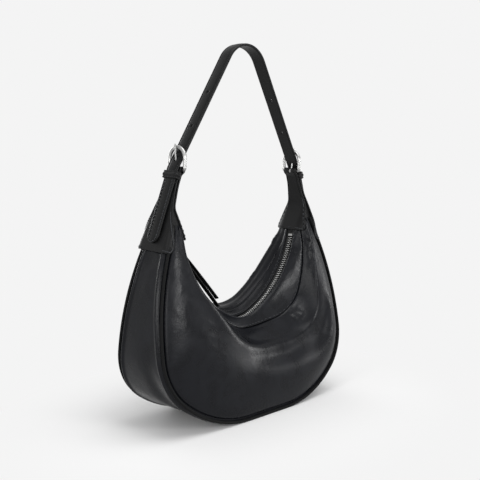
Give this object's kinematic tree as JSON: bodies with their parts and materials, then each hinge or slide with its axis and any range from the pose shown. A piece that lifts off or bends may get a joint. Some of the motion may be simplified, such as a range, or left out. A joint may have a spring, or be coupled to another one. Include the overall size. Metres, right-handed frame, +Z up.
{
  "type": "half moon shoulder bag",
  "caption": "Soft crescent shoulder bag in black leather with a curved zip top, a tapering gusset with piped seams, and a buckled shoulder strap on flared tabs.",
  "frame": {"origin": "middle of the flat base, where the bag stands", "axes": "+X along the bag to the horn away from the closed zip slider, +Y from front to back, +Z up to the strap"},
  "size_m": [0.28, 0.1021, 0.4088],
  "materials": {
    "leather": "smooth black leather with a soft sheen",
    "strap_leather": "smooth black leather, edge stitched",
    "piping": "black leather over a cord",
    "zip_tape": "woven black tape",
    "zip_metal": "bright nickel",
    "buckle_metal": "polished nickel",
    "lining": "plain woven lining",
    "board": "plain stiffening board"
  },
  "bodies": {
    "bag": {"front_panel": "leather", "back_panel": "leather", "gusset": "leather", "front_piping": "piping", "back_piping": "piping", "front_zip_facing": "leather", "back_zip_facing": "leather", "front_zip_tape": "zip_tape", "back_zip_tape": "zip_tape", "front_zip_teeth": "zip_metal", "back_zip_teeth": "zip_metal", "zip_top_stops": "zip_metal", "zip_end_stop": "zip_metal", "front_lining": "lining", "back_lining": "lining", "gusset_lining": "lining", "base_board": "board", "left_tab": "strap_leather", "right_tab": "strap_leather"},
    "zip_slider": {"zip_slider": "zip_metal"},
    "zip_pull": {"zip_pull_link": "zip_metal", "zip_pull": "leather"},
    "strap": {"strap": "strap_leather", "left_keeper": "strap_leather", "right_keeper": "strap_leather", "left_buckle_frame": "buckle_metal", "right_buckle_frame": "buckle_metal"},
    "left_prong": {"left_buckle_prong": "buckle_metal"},
    "right_prong": {"right_buckle_prong": "buckle_metal"}
  },
  "joints": [
    {"name": "zip_slider_travel", "type": "hinge", "parent": "bag", "child": "zip_slider", "pos_m": [0.03297, 0, 0.22361], "axis": [0, -1, 0], "range_deg": [0, 26]},
    {"name": "zip_pull_swing", "type": "hinge", "parent": "zip_slider", "child": "zip_pull", "pos_m": [-0.08567, 0, 0.18391], "axis": [-0.0794, -0.9681, 0.2374], "range_deg": [0, 105]},
    {"name": "strap_swing", "type": "hinge", "parent": "bag", "child": "strap", "pos_m": [0, 0, 0.2197], "axis": [1, 0, 0], "range_deg": [-60, 60], "deforming": ["left_tab", "right_tab"]},
    {"name": "left_prong_play", "type": "hinge", "parent": "strap", "child": "left_prong", "pos_m": [-0.09002, -0.00314, 0.2696], "axis": [0, -0.998, -0.0628], "range_deg": [0, 3]},
    {"name": "right_prong_play", "type": "hinge", "parent": "strap", "child": "right_prong", "pos_m": [0.09002, -0.00314, 0.2696], "axis": [0, 0.998, 0.0628], "range_deg": [0, 3]}
  ]
}
